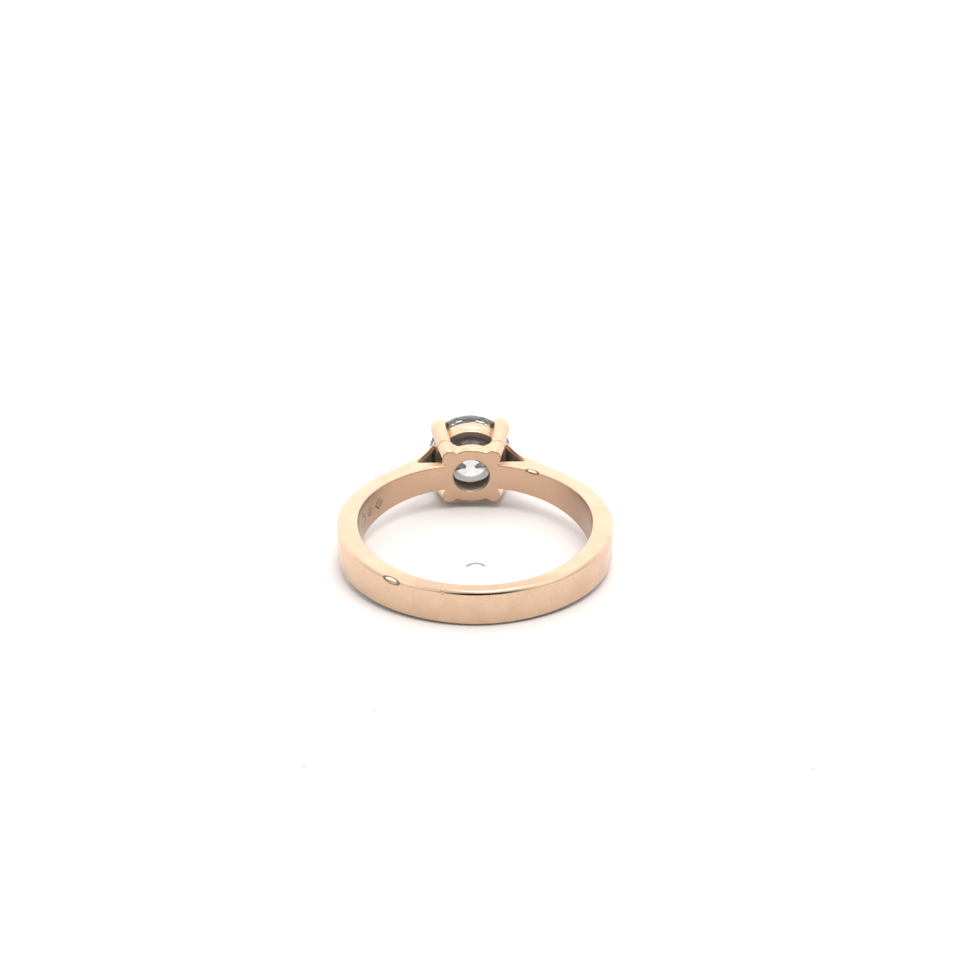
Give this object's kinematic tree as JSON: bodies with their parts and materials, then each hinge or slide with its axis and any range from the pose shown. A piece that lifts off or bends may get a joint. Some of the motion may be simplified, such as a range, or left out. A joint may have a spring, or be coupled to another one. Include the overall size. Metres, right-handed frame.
{
  "type": "engagement ring",
  "caption": "Finger ring with a flat-sided tapering band, cathedral shoulder arms and a two-rail claw setting that holds a round brilliant stone.",
  "frame": {"origin": "centre of the finger hole, at the middle of the band's width", "axes": "+Z along the finger hole, so that the ring lies on its side; +Y from the palm side of the band to the stone; +X to the right when the stone points away from the viewer"},
  "size_m": [0.02, 0.023, 0.0066],
  "materials": {
    "gold": "polished pale yellow gold with fine wear scratches",
    "solder": "polished gold solder",
    "diamond": "polished facets"
  },
  "bodies": {
    "root": {"shank": "gold", "arm_left": "gold", "arm_right": "gold", "base_rail": "gold", "seat_rail": "gold", "claw_upper_left": "gold", "claw_upper_right": "gold", "claw_lower_left": "gold", "claw_lower_right": "gold", "diamond": "diamond", "shank_solder": "solder", "arm_solder": "solder", "arm_tip_solder": "solder", "claw_foot_solder": "solder", "claw_rail_solder": "solder"}
  },
  "joints": []
}
